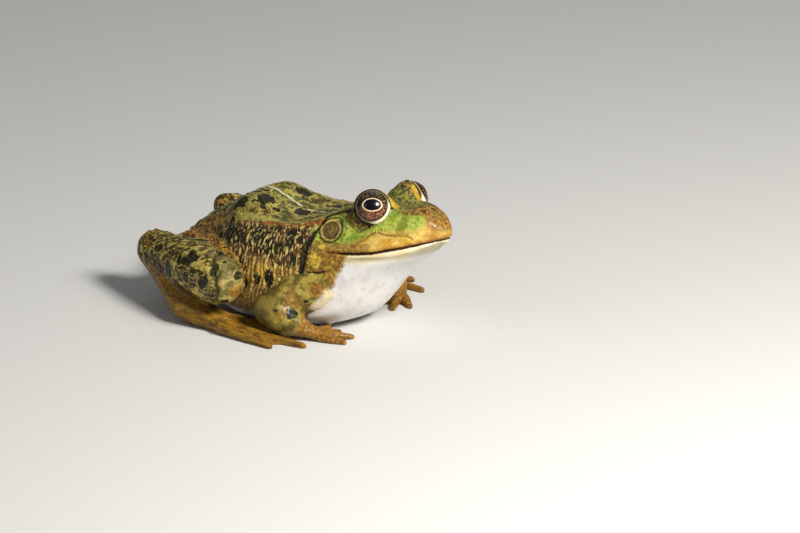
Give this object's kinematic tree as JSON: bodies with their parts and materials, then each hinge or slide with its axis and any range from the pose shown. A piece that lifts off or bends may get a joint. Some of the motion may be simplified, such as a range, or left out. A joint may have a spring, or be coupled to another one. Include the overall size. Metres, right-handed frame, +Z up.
{
  "type": "marsh frog",
  "caption": "Marsh frog sitting at rest with head raised, hind legs folded and webbed feet flat, a still life-size animal model that rests on belly, hands and feet",
  "frame": {"origin": "centre of the bounding box in plan, on the floor that the frog rests on", "axes": "+X towards the snout, +Y to the frog's left, +Z up"},
  "size_m": [0.0808, 0.0608, 0.0359],
  "materials": {
    "head_skin": "moist smooth skin, olive green with a tan snout and upper lip",
    "throat_skin": "moist smooth skin, cream white",
    "trunk_skin": "moist wrinkled skin, brown and olive with dark blotches and a pale stripe along the back",
    "eye_ball": "glossy wet eye, dark brown iris with a pale gold ring round the pupil",
    "eardrum_skin": "thin tight brown skin",
    "arm_skin": "moist skin, olive and orange brown",
    "hand_skin": "moist skin, orange brown",
    "leg_skin": "moist skin, olive brown with dark bars and blotches",
    "foot_skin": "moist skin, orange brown, with a thin web between the toes"
  },
  "bodies": {
    "root": {"head": "head_skin", "lower_jaw": "throat_skin", "trunk": "trunk_skin", "eye_L": "eye_ball", "eye_R": "eye_ball", "eardrum_L": "eardrum_skin", "eardrum_R": "eardrum_skin", "upper_arm_L": "arm_skin", "upper_arm_R": "arm_skin", "forearm_L": "arm_skin", "forearm_R": "arm_skin", "hand_L": "hand_skin", "hand_R": "hand_skin", "thigh_L": "leg_skin", "thigh_R": "leg_skin", "shank_L": "leg_skin", "shank_R": "leg_skin", "tarsus_L": "foot_skin", "tarsus_R": "foot_skin", "foot_L": "foot_skin", "foot_R": "foot_skin"}
  },
  "joints": []
}
